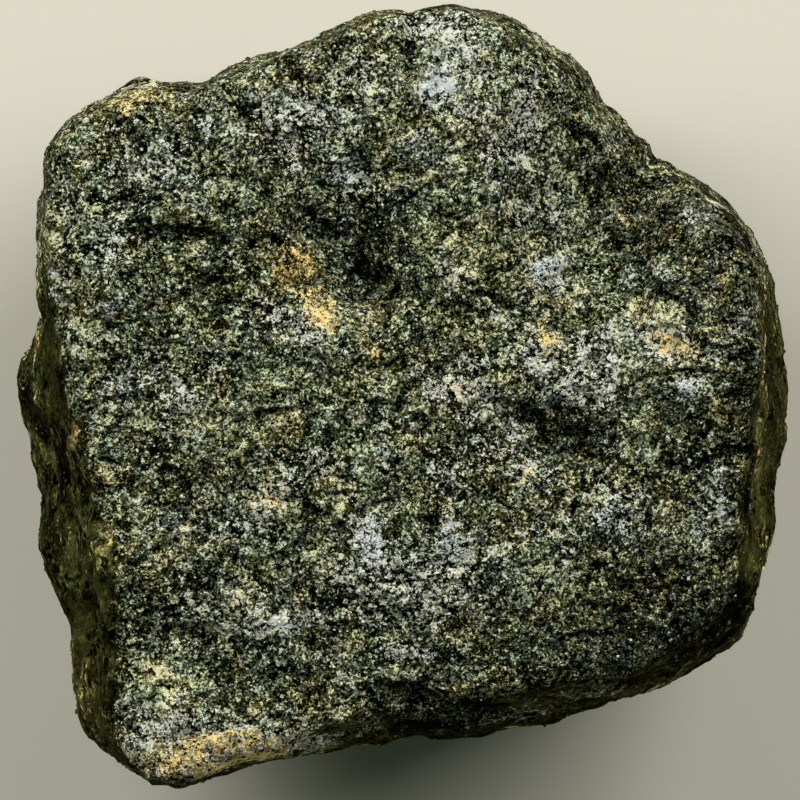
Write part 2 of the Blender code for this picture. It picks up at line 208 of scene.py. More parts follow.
# Pale patches: pale minerals, and the painted white of the glint clusters where blue patches lie
PALE_AND_GLINT = [
    (3.6, 30.6, 1.8, 2.2, 0, 1.0), (5.6, 33.4, 3.6, 3.4, 0, 0.55), (14.3, 12.0, 1.6, 1.7, 0, 1.3),
    (-3.2, -15.4, 1.5, 3.4, 10, 1.25), (4.7, -15.2, 2.0, 2.8, -10, 0.9), (18.7, 4.6, 2.2, 1.8, 0, 0.8),
    (25.8, 5.4, 3.4, 1.6, -15, 0.9), (4.2, 0.6, 2.0, 2.0, 0, 0.8), (-13.0, -10.2, 3.4, 1.4, 45, 0.7),
    (28.7, 1.2, 1.6, 1.1, 0, 1.1), (28.7, 17.6, 1.0, 0.8, 0, 1.0), (31.3, 19.1, 1.0, 0.7, 0, 1.0),
    (12.7, 27.4, 1.4, 2.2, 0, 0.7), (-22.4, -33.6, 6.0, 3.0, -5, 0.6), (-15.5, -34.6, 5.0, 1.8, 5, 0.8),
    (-19.4, -35.4, 5.0, 2.4, 0, 1.2), (-28.5, 26.4, 3.6, 1.2, 25, 0.5), (21.5, -10.5, 2.6, 2.0, 30, 0.5),
    (-29.5, 15.5, 2.6, 4.0, 0, 0.5), (-10.0, 6.8, 3.4, 1.8, 0, 0.6), (-13.5, -20.0, 3.0, 2.0, 0, 0.3),
    (10.5, -4.0, 2.0, 3.0, 20, 0.5), (-16.5, 9.0, 3.0, 1.4, 0, 0.3), (-16.0, -24.5, 5.0, 2.0, -10, 0.35),
    (16.5, -15.0, 2.0, 2.5, 20, 0.35), (30.0, -13.0, 1.6, 3.0, 0, 0.5), (6.5, -19.5, 4.0, 1.2, 0, 0.5),
    (-18.0, -20.4, 7.0, 4.0, 0, 0.35), (-10.2, 27.6, 6.0, 4.0, 0, 0.60), (-26.0, 22.6, 6.0, 4.0, 0, 0.45),
    (8.6, 25.2, 1.6, 4.5, 0, 0.6), (11.5, 18.0, 2.0, 2.4, 0, 0.45), (3.0, -18.0, 9.0, 4.5, 0, 0.35),
    (13.5, 3.4, 3.0, 2.4, -20, 0.75), (17.5, 1.8, 3.0, 2.0, -20, 0.55), (-24.0, 2.0, 4.0, 2.0, 0, 0.35),
    (-5.0, 20.5, 3.0, 2.0, 0, 0.40), (-13.0, -34.6, 6.0, 1.2, 6, 0.8), (-20.0, -35.8, 4.0, 1.4, 0, 0.8),
    (14.8, 5.2, 1.4, 1.2, 0, 1.0), (14.5, 31.0, 4.0, 3.0, -35, 0.25), (-24.0, 4.0, 4.0, 1.2, 0, 0.3),
    (15.0, 20.0, 4.0, 1.2, 70, 0.25), (-6.0, -8.0, 5.0, 2.5, 10, 0.2),
    (11.8, 27.0, 1.5, 6.0, -10, 0.9), (3.0, 37.0, 5.0, 1.6, 0, 0.8), (-28.5, 22.6, 2.0, 1.6, 0, 0.6),
    (-32.0, 28.0, 3.0, 1.2, 40, 0.5), (-25.0, 31.4, 4.0, 1.0, 15, 0.6), (-16.0, 33.0, 4.0, 1.0, 25, 0.5),
    (-19.5, 27.0, 1.6, 2.0, 0, 0.5), (-11.0, 24.0, 1.4, 4.0, 20, 0.5), (-5.0, 32.0, 3.6, 3.0, 20, 0.5),
    (6.5, 28.5, 2.0, 2.5, 0, 0.5), (15.0, 18.0, 1.4, 2.6, 0, 0.6), (10.2, 18.5, 1.2, 2.0, 0, 0.4),
    (-2.5, 19.4, 1.6, 2.0, 0, 0.5), (5.0, 12.0, 3.0, 1.4, 0, 0.35), (-13.0, 8.0, 1.3, 3.0, 20, 0.55),
    (-16.5, 13.5, 2.0, 1.5, 0, 0.4), (-28.0, 16.0, 3.0, 1.0, -10, 0.4), (-33.5, 14.0, 1.5, 6.0, 0, 0.4),
    (-22.5, 0.0, 2.5, 2.6, 40, 0.55), (-18.5, 2.6, 2.0, 1.0, 0, 0.5), (-28.0, 0.0, 2.0, 0.8, 0, 0.4),
    (-9.0, -6.5, 3.5, 2.0, 0, 0.5), (-25.0, -4.5, 3.0, 1.2, 10, 0.4), (-15.0, -12.8, 3.0, 1.0, 0, 0.65),
    (1.0, -19.0, 7.0, 5.0, 0, 0.65), (0.0, -25.6, 4.5, 0.9, 0, 0.8), (-6.0, -17.5, 2.0, 2.4, 0, 0.6),
    (-12.0, -22.6, 6.0, 1.2, 5, 0.65),
    (-19.5, -22.0, 3.0, 1.6, 0, 0.5), (8.4, -5.0, 1.6, 2.0, 0, 0.65), (4.5, -7.5, 2.0, 2.4, 0, 0.6),
    (8.5, 0.0, 2.4, 1.4, 0, 0.8), (16.0, 0.2, 2.4, 1.4, 0, 1.0), (20.2, 3.0, 1.6, 4.0, 0, 0.9),
    (7.0, 2.6, 1.6, 1.4, 0, 0.7), (12.6, -7.0, 2.4, 1.2, -20, 0.7), (6.6, -1.8, 1.6, 1.2, 0, 0.6),
    (20.8, -12.6, 2.6, 1.1, -30, 0.75), (28.0, -7.0, 1.5, 1.0, 0, 0.5), (31.4, -10.0, 0.9, 4.0, 10, 0.6),
    (13.0, -13.0, 2.4, 1.0, 20, 0.5), (5.0, -16.0, 2.2, 3.0, 0, 0.7), (33.4, 7.6, 0.9, 1.6, 0, 0.9),
    (26.0, 12.0, 3.0, 1.0, -20, 0.35), (-16.0, -36.0, 5.0, 1.6, 8, 2.0), (-10.5, -34.8, 2.5, 1.1, 10, 1.6),
    (-21.5, -32.5, 1.8, 1.6, 0, 0.5), (12.0, -31.5, 4.0, 1.0, 10, 0.4), (2.0, -28.4, 2.0, 0.8, 0, 0.5),
]
# Blue patches: bluish ore, and clusters of bluish-white glints painted as colour
BLUE_AND_GLINT = [
    (-28.2, 9.4, 2.0, 1.8, 0, 0.7), (-3.0, -14.4, 1.6, 3.0, 0, 0.8), (5.2, -14.8, 2.0, 2.6, 0, 0.7),
    (0.8, 24.6, 2.2, 1.6, 0, 0.8), (3.6, 30.8, 1.8, 2.4, 0, 0.8), (14.4, 12.4, 1.8, 1.8, 0, 0.8),
    (-20.0, 26.0, 3.0, 2.0, 0, 0.5), (22.0, -13.0, 4.0, 3.0, 0, 0.5), (-28.5, 1.0, 2.0, 3.0, 0, 0.6),
    (-5.5, 22.5, 3.0, 2.5, 0, 0.6), (28.0, 0.0, 2.5, 2.0, 0, 0.5), (10.0, -19.0, 4.0, 3.0, 0, 0.4),
    (-3.0, -1.5, 3.0, 1.5, 0, 0.4), (31.0, -10.0, 2.0, 4.0, 0, 0.4), (-20.0, -13.0, 7.0, 5.0, 0, 0.35),
    (-10.0, -22.0, 9.0, 3.0, 0, 0.35), (13.0, -9.0, 5.0, 4.0, -30, 0.4),
]
# Dark patches: the painted shade of the front face's hollows and the painted shadow below its ledges, and
# darker ore elsewhere
DARK_AND_SHADE = [
    (-8.2, 17.6, 3.6, 2.2, -30, 0.6), (-3.2, 12.0, 3.8, 2.4, -30, 0.6), (16.0, -4.8, 3.4, 3.0, 0, 1.0),
    (12.0, -1.8, 2.6, 1.4, 0, 0.7), (-0.2, -29.6, 3.4, 1.8, 0, 0.9), (3.0, -32.0, 5.0, 1.8, 8, 0.9),
    (16.7, -24.4, 3.4, 1.8, 12, 0.8), (-22.0, 16.3, 4.0, 0.9, -5, 0.9), (0.7, 35.0, 0.6, 4.5, 0, 0.9),
    (-21.0, 3.0, 5.0, 2.0, 10, 0.5), (-1.5, 17.6, 3.6, 3.0, 0, 0.4), (-21.0, -19.0, 4.0, 3.0, 0, 0.4),
    (29.0, -20.0, 5.0, 4.0, 30, 0.6), (-20.0, -10.5, 3.6, 2.6, 0, 0.4), (11.0, 8.0, 3.0, 2.0, 0, 0.4),
    (8.0, -12.0, 3.0, 2.0, 0, 0.3), (-9.0, -27.0, 4.0, 2.0, 0, 0.4), (29.0, 7.5, 2.0, 1.4, 0, 0.5),
    (24.0, 19.0, 6.5, 3.8, -35, 1.1), (30.8, 16.0, 4.2, 6.0, 0, 1.3), (18.5, 24.5, 4.0, 4.0, -40, 0.4),
    (14.5, 31.0, 4.0, 3.0, -35, 0.2), (-28.5, 9.0, 3.0, 3.0, 0, 0.35), (34.0, 2.0, 1.5, 10.0, 0, 0.6),
    (20.8, -26.6, 6.0, 2.4, 12, 1.0), (27.0, -22.0, 7.0, 5.0, 20, 1.1), (24.0, 10.5, 3.0, 2.0, 0, 0.35),
    (-26.0, 21.0, 3.0, 3.0, 0, 0.3), (24.5, -8.0, 3.0, 2.0, 0, 0.5),
    (-25.0, 29.8, 2.6, 1.0, 0, 0.5), (-9.5, 15.4, 2.0, 1.5, 0, 0.6), (4.4, 19.6, 2.6, 2.2, 30, 0.6),
    (27.6, 20.2, 3.0, 1.4, -35, 0.7), (22.0, 25.0, 2.0, 2.0, 0, 0.6), (18.0, 14.5, 1.5, 2.5, 0, 0.45),
    (8.5, 6.5, 3.0, 3.0, 0, 0.5), (17.6, 4.4, 1.0, 1.8, 0, 0.7), (31.2, 7.0, 1.2, 1.6, 0, 0.7),
    (-31.5, 8.0, 2.5, 1.2, 0, 0.45), (-6.0, 3.0, 4.0, 2.0, 0, 0.4), (-17.0, -5.4, 2.0, 1.8, 0, 0.75),
    (-29.0, -2.0, 2.0, 1.5, 0, 0.4), (-22.5, -10.0, 3.0, 2.6, 0, 0.7), (23.0, -16.0, 1.8, 1.8, 0, 0.8),
    (26.2, -11.0, 1.6, 1.6, 0, 0.75), (32.0, -16.5, 1.5, 3.0, 0, 0.7), (-26.5, -33.0, 2.5, 2.0, 0, 0.8),
    (-28.0, -24.5, 1.4, 2.0, 0, 0.6), (-17.0, -27.4, 1.6, 2.6, 0, 0.8), (-9.6, -29.8, 3.2, 1.6, 0, 0.9),
    (17.0, -25.4, 4.0, 1.4, 0, 1.0), (24.5, -26.0, 5.0, 2.4, 15, 0.8), (15.5, -8.5, 2.0, 1.4, 0, 0.6),
]

# Ore: levels are powers of ten. The middle level, how much darker the rind is, the highest level,
# what is taken off every lightness so that the darkest grains are black, and the least that is left
LIGHTNESS = -1.08
RIND_DARKER = -0.37
HIGHEST_LEVEL = -0.13
BLACK_SHARE = 0.015
LEAST_VALUE = 0.001

# Tint of the darkest and the lightest grains, and the levels between them
LEVEL_RANGE = (-2.4, -0.35)
DEEP_TINT = (0.72, 1.00, 0.10, 1.0)
BRIGHT_TINT = (0.96, 1.00, 0.71, 1.0)

# Tints of the minerals, which multiply the tint of their lightness; the white and blue tints also colour
# the painted glints and edge highlights
PLAIN_TINT = (1.00, 1.00, 1.00, 1.0)
OLIVE_TINT = (1.06, 1.03, 0.36, 1.0)
GREY_TINT = (0.96, 1.00, 1.15, 1.0)
GREEN_TINT = (0.78, 1.03, 0.74, 1.0)
BROWN_TINT = (1.36, 1.00, 0.34, 1.0)
GOLD_TINT = (1.40, 1.05, 0.34, 1.0)
STEEL_TINT = (0.76, 0.96, 1.75, 1.0)
WHITE_TINT = (1.04, 1.00, 1.28, 1.0)
BLUE_TINT = (0.94, 0.97, 1.36, 1.0)
RUST_TINT = (1.48, 0.96, 0.42, 1.0)
STRAW_TINT = (1.26, 1.03, 0.62, 1.0)
RIND_TINT = (1.30, 1.00, 0.50, 1.0)
RIND_OLIVE_TINT = (1.06, 1.03, 0.60, 1.0)
RIND_RUST_TINT = (1.70, 0.88, 0.42, 1.0)

# Sizes of the ore's cells, from single specks to clusters
SPECK_CELL = 0.21 * MM
GRAIN_CELL = 0.33 * MM
COARSE_CELL = 0.62 * MM
CLUMP_CELL = 1.1 * MM
CLUSTER_CELL = 2.6 * MM

# Size of the clumps into which each painted mineral is broken up
CLUMP_SIZES = {"pale": 0.8 * MM, "rust": 1.0 * MM, "blue": 0.9 * MM, "dark": 1.3 * MM}
CLUMP_WEIGHT = 1.5
CLUMP_RANGE = (0.16, 0.68)

# Surface of the ore
ORE_GLOSS = 0.004
ORE_BUMP = 0.20 * MM

# Looks of the loose grains: (two colours, roughness, how metallic, gloss)
PALE_LOOK = (((0.74, 0.74, 0.64, 1.0), (0.46, 0.46, 0.35, 1.0)), 0.5, 0.0, 0.3)
RUSTY_LOOK = (((0.40, 0.25, 0.07, 1.0), (0.66, 0.56, 0.28, 1.0)), 0.65, 0.0, 0.1)
STEEL_LOOK = (((0.05, 0.06, 0.05, 1.0), (0.22, 0.25, 0.22, 1.0)), 0.38, 0.6, 0.5)
BROWN_LOOK = (((0.050, 0.050, 0.014, 1.0), (0.10, 0.09, 0.030, 1.0)), 0.7, 0.0, 0.05)
SHADE_SHARE = 0.12
GRAIN_BUMP = 0.08 * MM

# Loose grains: (how many, size in mm, how deep they sit as a share of half their size)
PALE_GRAINS = (5000, 0.22, 0.40)
RUSTY_GRAINS = (500, 0.24, 0.45)
STEEL_GRAINS = (5000, 0.24, 0.30)
SIDE_GRAINS = (5000, 0.34, 0.85)

# Weight of a place outside the patches, where grains are set near patches
PALE_ELSEWHERE = 0.06
RUSTY_ELSEWHERE = 0.003
STEEL_ELSEWHERE = 0.25

# How unlike one another the loose grains are: in place, lean, corners, size and width
GRAIN_STRAY = 0.08 * MM
GRAIN_LEAN = 0.25
GRAIN_KNOCKS = 0.35
GRAIN_SPREAD = 0.45
GRAIN_SPREAD_ENDS = (-0.9, 0.7)
GRAIN_WIDTHS = (0.7, 1.3)
GRAIN_FLATNESS = 0.7
GRAIN_FLOOR = 0.1 * MM

# Studio
CAMERA_LENS = 1500.0
SENSOR = 36.0
VIEW_WIDTH = 80.0 * MM
VIEW_LEVEL = 36.0 * MM
VIEW_CENTRE = (-0.25 * MM, -0.40 * MM)
VIEW_REACH = 100.0
FLOOR_SIZE = 4.0
FLOOR_COLOUR = (0.62, 0.585, 0.48, 1.0)
FLOOR_ROUGHNESS = 0.9
KEY_PLACES = {"key_left": (-0.46, 0.38, 0.50), "key_right": (0.46, 0.38, 0.50)}
KEY_TARGET = (0.0, 0.0, 0.02)
KEY_SIZE = (0.55, 0.40)
KEY_POWER = 5.5
FILL_STRENGTH = 0.075
FILL_COLOUR = (0.68, 1.0, 0.78, 1.0)

rng = np.random.default_rng(SEED)


def smoothstep(value, low, high):
    """0 below the low end, 1 above the high end, and a soft rise between them."""
    t = np.clip((value - low) / (high - low), 0.0, 1.0)
    return t * t * (3.0 - 2.0 * t)


def bell(places, x, y, length, width, direction):
    """A soft oval mark on the front face: 1 at its middle, falling to 0 outside it."""
    turn = math.radians(direction)
    dx, dy = places[:, 0] - x * MM, places[:, 1] - y * MM
    along = (dx * math.cos(turn) + dy * math.sin(turn)) / (length * MM)
    across = (dy * math.cos(turn) - dx * math.sin(turn)) / (width * MM)
    return np.exp(-(along ** 2 + across ** 2)) * smoothstep(places[:, 2], *FACE_FADE)


def link(obj):
    """Puts an object in the scene."""
    bpy.context.scene.collection.objects.link(obj)
    return obj


def evaluated_mesh(obj):
    """A mesh of its own with the object's modifiers applied."""
    graph = bpy.context.evaluated_depsgraph_get()
    return bpy.data.meshes.new_from_object(obj.evaluated_get(graph), depsgraph=graph)


def read(items, name, width=3):
    """One value of every vertex, normal or face of a mesh, a row for each."""
    values = np.empty(len(items) * width)
    items.foreach_get(name, values)
    return values.reshape(-1, width)


def even_skin():
    """The rock's solid with an even skin whose corners are slightly worn."""
    rock = link(bpy.data.objects.new("skin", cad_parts["ilmenite_rock"].data.copy()))
    weld = rock.modifiers.new("weld", "WELD")
    weld.merge_threshold = WELD_REACH
    remesh = rock.modifiers.new("remesh", "REMESH")
    remesh.mode = "VOXEL"
    remesh.voxel_size = VOXEL
    smooth = rock.modifiers.new("smooth", "SMOOTH")
    smooth.factor = 0.5
    smooth.iterations = SMOOTHING_STEPS
    mesh = evaluated_mesh(rock)
    bpy.data.objects.remove(rock, do_unlink=True)
    return mesh


def on_front(face):
    return face.normal.z > FACE_TILT and face.calc_center_median().z > FACE_FLOOR


def dense_skin(mesh):
    """Splits every face in four, and those of the front face in sixteen."""
    bm = bmesh.new()
    bm.from_mesh(mesh)
    bmesh.ops.subdivide_edges(bm, edges=bm.edges[:], cuts=1, smooth=0.35, use_grid_fill=True)
    bm.normal_update()
    mark = bm.faces.layers.int.new("front")
    front = [face for face in bm.faces if on_front(face)]
    for face in front:
        face[mark] = 1
    edges = list({edge for face in front for edge in face.edges})
    bmesh.ops.subdivide_edges(bm, edges=edges, cuts=1, smooth=0.2, use_grid_fill=True)
    bm.to_mesh(mesh)
    bm.free()
    mesh.update()


def plate(point, size):
    """Height of hackly plates, about -1 to 1: each cell of the rock is a small tilted plane."""
    scaled = point / size
    distances, centres = noise.voronoi(scaled)
    tilt = noise.cell_vector(centres[0] * PLATE_SEED)
    edge = min(1.0, (distances[1] - distances[0]) * PLATE_EDGE)
    return (scaled - centres[0]).dot(tilt) * 2.0 * edge


def crack(point):
    """1 in the middle of the short winding cracks of the rock, 0 away from them."""
    off = abs(noise.noise(point / (CRACK_SPACING * MM)))
    broken = noise.noise(point / (0.7 * CRACK_SPACING * MM) + Vector(CRACK_SHIFT))
    return max(0.0, 1.0 - off / CRACK_WIDTH) * min(1.0, max(0.0, broken * 4.0))


def terrace(point):
    """Steps down the face: each rises gently from its foot and ends in a small cliff that faces down."""
    along = point.y / (TERRACE_SPACING * MM) + 1.4 * noise.noise(point / (1.3 * TERRACE_SPACING * MM))
    phase = along - math.floor(along)
    step = phase / TERRACE_CLIFF if phase < TERRACE_CLIFF else (1.0 - phase) / (1.0 - TERRACE_CLIFF)
    shown = noise.noise(point / (TERRACE_SPACING * MM) + Vector(TERRACE_SHIFT))
    return (step - 0.5) * min(1.0, max(0.0, 0.3 + 3.0 * shown))


def ledges(places):
    """Height in mm of the ledges: a raised lip that fades away above, a sunken foot below."""
    depth = np.zeros(len(places))
    for x, y, length, direction, height in LEDGES:
        turn = math.radians(direction)
        dx, dy = places[:, 0] / MM - x, places[:, 1] / MM - y
        along = dx * math.cos(turn) + dy * math.sin(turn)
        above = dy * math.cos(turn) - dx * math.sin(turn) + LEDGE_BEND * along ** 2
        lip = np.exp(-above.clip(0.0) / LEDGE_LIP)
        foot = -np.exp(above.clip(max=0.0) / LEDGE_FOOT)
        depth += height * np.exp(-(along / length) ** 2) * np.where(above > 0.0, lip, foot)
    return depth * smoothstep(places[:, 2], *FACE_FADE)


def relief_at(point):
    """Height in mm of the plates, lumps, grains, cracks and steps at one point."""
    high = 0.0
    for size, height in PLATES:
        high += height * plate(point, size * MM)
    for size, height in LUMPS:
        high += height * noise.fractal(point / (size * MM), 0.9, 2.1, 2)
    high += GRAIN_HEIGHT * plate(point, GRAIN_SIZE * MM)
    high -= CRACK_DEPTH * crack(point)
    high += TERRACE_HEIGHT * terrace(point)
    return high


def relief(places, facing):
    """How far every point of the skin stands out from the solid's own form."""
    fresh = STEEP_RELIEF + LEVEL_RELIEF * smoothstep(facing, *RELIEF_TILT)
    depth = np.array([relief_at(Vector(place)) for place in places]) * fresh
    depth += rng.normal(0.0, GRAIN_JITTER, len(places)) * fresh
    for x, y, length, width, direction, height in SMALL_FORMS:
        depth += height * bell(places, x, y, length, width, direction)
    depth += ledges(places)
    return depth * MM


def push_out(mesh, places, normals, shift):
    """Moves the skin along its normals, within reach of the solid, with the resting spot kept flat."""
    moved = places + normals * shift[:, None]
    lowest, highest = np.array(cad_box[0]), np.array(cad_box[1])
    moved = np.clip(moved, lowest - HIGHEST_REACH, highest + HIGHEST_REACH)
    on_base = places[:, 2] < BASE_LEVEL
    moved[:, 2] = np.where(on_base, 0.0, np.maximum(moved[:, 2], LOWEST_POINT))
    mesh.vertices.foreach_set("co", moved.ravel())
    mesh.update()


def bulge(mesh, steps):
    """How far every point stands out from a softened copy of the rock, in mm."""
    rock = link(bpy.data.objects.new("softened", mesh))
    soften = rock.modifiers.new("soften", "SMOOTH")
    soften.factor = 0.5
    soften.iterations = steps
    soft = evaluated_mesh(rock)
    moved = read(mesh.vertices, "co") - read(soft.vertices, "co")
    away = np.einsum("ij,ij->i", moved, read(mesh.vertex_normals, "vector")) / MM
    bpy.data.objects.remove(rock, do_unlink=True)
    bpy.data.meshes.remove(soft)
    return away


def rind(places, ragged):
    """1 on the two weathered sides that show beside the face, 0 on the face."""
    across, along = places[:, 0] / MM + RIND_RAGGED * (ragged - 0.5), places[:, 1] / MM
    left = across - np.interp(along, *zip(*RIND_LEFT))
    right = np.interp(along, *zip(*RIND_RIGHT)) - across
    return 1.0 - smoothstep(np.minimum(left, right), -RIND_FADE, RIND_FADE)


def patch(places, marks, ragged):
    """Strength of a mineral at every point, its edges broken up by the rock's grain."""
    value = np.zeros(len(places))
    for x, y, length, width, direction, strength in marks:
        value = np.maximum(value, strength * bell(places, x, y, length, width, direction))
    return np.clip(value * (0.55 + 0.9 * ragged), 0.0, 1.2)


def clouds(places, size, octaves, shift):
    """A soft random field between about 0 and 1."""
    offset = Vector((shift, 2.0 * shift, -shift))
    points = [Vector(place) / size + offset for place in places]
    return np.array([0.5 + 0.5 * noise.fractal(point, 0.8, 2.0, octaves) for point in points])


def weathering(places, facing, ragged):
    """1 on the weathered sides, 0 on the face, and little on the broken top end."""
    broken = smoothstep(places[:, 1], *BREAK_Y) * smoothstep(places[:, 2], *BREAK_Z)
    tilted = (1.0 - smoothstep(facing, *WEATHERED_TILT)) * (1.0 - BREAK_FRESH * broken)
    return np.maximum(tilted, rind(places, ragged))


def minerals(places, facing, shift, edges, fine_bulge):
    """How much of each mineral, with painted shade, highlights and glints among them, and how much
    weathering every point of the skin has.
    """
    ragged, broad = clouds(places, *RAGGED_FIELD), clouds(places, *BROAD_FIELD)
    front = smoothstep(facing, *FRONT_TILT)
    # Edges lighter by wear, and the fine edges also by a painted highlight
    wear_and_edge_highlight = smoothstep(edges, *EDGE_RANGE) * ragged + EDGE_HIGHLIGHT * smoothstep(fine_bulge, *FINE_BULGE_RANGE)
    bare = BARE_PALE * (1.0 - front) * smoothstep(broad, *BARE_RANGE)
    # Painted shade: hollows, pits and fine crevices made darker where shade falls in them
    painted_hollow_shade = smoothstep(-edges, *HOLLOW_RANGE) * HOLLOW_SHADE + smoothstep(-shift, *PIT_RANGE) * PIT_SHADE
    painted_hollow_shade += CREVICE_SHADE * smoothstep(-fine_bulge, *FINE_BULGE_RANGE)
    rust = patch(places, RUST, ragged) * front
    pale = patch(places, PALE_AND_GLINT, ragged) * front
    kept_off = MINERAL_FRESH * np.clip(np.maximum(rust, pale), 0.0, 1.0)
    return {
        "rust": rust,
        "pale": np.maximum(pale, np.maximum(EDGE_WEAR_AND_HIGHLIGHT * wear_and_edge_highlight, bare)),
        "blue": patch(places, BLUE_AND_GLINT, ragged) * front,
        "dark": np.clip(patch(places, DARK_AND_SHADE, ragged) * front + painted_hollow_shade, 0.0, 1.1),
        "weathered": weathering(places, facing, ragged) * (1.0 - kept_off),
        "broad": broad,
    }


def paint(mesh, values):
    """Keeps values on the mesh under the names by which the material reads them."""
    for name, value in values.items():
        attribute = mesh.attributes.new(name, "FLOAT", "POINT")
        attribute.data.foreach_set("value", value.astype(np.float32))


def build_skin():
    """The dense, rough skin of the whole rock and the minerals, painted shade and painted highlights at
    each of its points.
    """
    mesh = even_skin()
    dense_skin(mesh)
    edges = bulge(mesh, WIDE_STEPS)
    places, normals = read(mesh.vertices, "co"), read(mesh.vertex_normals, "vector")
    facing = normals[:, 2]
    shift = relief(places, facing) + SKIN_LIFT
    push_out(mesh, places, normals, shift)
    fine_bulge = bulge(mesh, FINE_STEPS)
    paint(mesh, minerals(places, facing, shift, edges, fine_bulge))
    return mesh


def part_of_skin(mesh, name, keep_front, material):
    """One of the two regions of the skin, as a piece of its own."""
    bm = bmesh.new()
    bm.from_mesh(mesh)
    mark = bm.faces.layers.int["front"]
    drop = [face for face in bm.faces if bool(face[mark]) != keep_front]
    bmesh.ops.delete(bm, geom=drop, context="FACES")
    part = bpy.data.meshes.new(name)
    bm.to_mesh(part)
    bm.free()
    part.materials.clear()
    part.materials.append(material)
    return link(bpy.data.objects.new(name, part))


class Nodes:
    """Short ways to add and join shader nodes."""

    def __init__(self, name):
        self.material = bpy.data.materials.new(name)
        self.material.use_nodes = True
        self.tree = self.material.node_tree
        self.shader = self.tree.nodes["Principled BSDF"]
        self.place = self.add("ShaderNodeTexCoord").outputs["Object"]

    def add(self, kind, **inputs):
        """A new node; an underscore in an input's name stands for a space."""
        node = self.tree.nodes.new(kind)
        for key, value in inputs.items():
            self.set(node.inputs[key.replace("_", " ")], value)
        return node

    def set(self, socket, value):
        """Joins another node's output to a socket, or gives the socket a plain value."""
        if isinstance(value, bpy.types.NodeSocket):
            self.tree.links.new(value, socket)
        elif value is not None:
            socket.default_value = value

    def math(self, operation, a, b=None):
        node = self.tree.nodes.new("ShaderNodeMath")
        node.operation = operation
        self.set(node.inputs[0], a)
        self.set(node.inputs[1], b)
        return node.outputs[0]

    def noise(self, size, detail=2.0, rough=0.6, twist=0.0, where=None):
        node = self.add("ShaderNodeTexNoise", Scale=1.0 / size, Detail=detail, Roughness=rough)
        self.set(node.inputs["Distortion"], twist)
        self.set(node.inputs["Vector"], where or self.place)
        return node.outputs["Fac"]

    def centred(self, value):
        return self.math("SUBTRACT", value, 0.5)

    def times(self, a, b):
        """The product of two colours or vectors."""
        node = self.tree.nodes.new("ShaderNodeVectorMath")
        node.operation = "MULTIPLY"
        self.set(node.inputs[0], a)
        self.set(node.inputs[1], b)
        return node.outputs[0]

    def stretched(self, amounts):
        """The rock's own coordinates, stretched so that marks become streaks."""
        return self.times(self.place, amounts)

    def shaken(self, size, reach):
        """The rock's own coordinates, bent by a fine noise so that grains are irregular."""
        source = self.add("ShaderNodeTexNoise", Scale=1.0 / size, Detail=2.0)
        self.set(source.inputs["Vector"], self.place)
        node = self.tree.nodes.new("ShaderNodeVectorMath")
        node.operation = "MULTIPLY_ADD"
        self.set(node.inputs[0], source.outputs["Color"])
        self.set(node.inputs[1], (reach,) * 3)
        self.set(node.inputs[2], self.place)
        return node.outputs[0]

    def cells(self, size, where):
        """Two random numbers for each cell of a grainy rock."""
        node = self.add("ShaderNodeTexVoronoi", Scale=1.0 / size)
        self.set(node.inputs["Vector"], where)
        split = self.add("ShaderNodeSeparateColor", Color=node.outputs["Color"])
        return split.outputs[0], split.outputs[1]

    def ramp(self, value, low, high, kind="LINEAR"):
        """0 at the low end and 1 at the high end."""
        node = self.tree.nodes.new("ShaderNodeMapRange")
        node.interpolation_type = kind
        self.set(node.inputs["Value"], value)
        self.set(node.inputs["From Min"], low)
        self.set(node.inputs["From Max"], high)
        return node.outputs["Result"]

    def step(self, value, low, high):
        """A ramp with soft ends."""
        return self.ramp(value, low, high, "SMOOTHSTEP")

    def veins(self, size, width):
        """Thin winding lines, where a noise passes through its middle."""
        off = self.math("ABSOLUTE", self.centred(self.noise(size, 3.0, twist=0.8)))
        return self.step(off, width, 0.0)

    def scaled(self, colour, amount):
        node = self.tree.nodes.new("ShaderNodeVectorMath")
        node.operation = "SCALE"
        self.set(node.inputs[0], colour)
        self.set(node.inputs["Scale"], amount)
        return node.outputs[0]

    def mix(self, amount, a, b):
        """Colour a where the amount is 0, colour b where it is 1."""
        node = self.tree.nodes.new("ShaderNodeMix")
        node.data_type = "RGBA"
        self.set(node.inputs[0], amount)
        self.set(node.inputs[6], a)
        self.set(node.inputs[7], b)
        return node.outputs[2]

    def weighted(self, start, terms):
        """A number plus several values, each with its weight."""
        total = start
        for value, weight in terms:
            node = self.tree.nodes.new("ShaderNodeMath")
            node.operation = "MULTIPLY_ADD"
            self.set(node.inputs[0], value)
            self.set(node.inputs[1], weight)
            self.set(node.inputs[2], total)
            total = node.outputs[0]
        return total

    def clumped(self, value, size):
        """A soft mark broken up into clumps: whole where it is strong, a few clumps where it is weak."""
        broken = self.centred(self.noise(size, 3.0, twist=1.0))
        return self.step(self.weighted(value, [(broken, CLUMP_WEIGHT)]), *CLUMP_RANGE)

    def mark(self, name):
        """A value painted on the skin."""
        node = self.tree.nodes.new("ShaderNodeAttribute")
        node.attribute_name = name
        return node.outputs["Fac"]

    def bump(self, strength, distance, height):
        node = self.add("ShaderNodeBump", Strength=strength, Distance=distance, Height=height)
        self.set(self.shader.inputs["Normal"], node.outputs["Normal"])


def ore_cells(n):
    """Random numbers of the ore's specks, grains, clumps and clusters."""
    bent = n.shaken(0.5 * MM, 0.35 * MM)
    torn = n.shaken(1.2 * MM, 1.3 * MM)
    cells = {"speck": n.cells(SPECK_CELL, bent)[0], "coarse": n.cells(COARSE_CELL, bent)[0]}
    cells["grain"], cells["grain_tint"] = n.cells(GRAIN_CELL, bent)
    cells["clump"], cells["clump_tint"] = n.cells(CLUMP_CELL, torn)
    cells["cluster"], cells["cluster_tint"] = n.cells(CLUSTER_CELL, torn)
    return cells


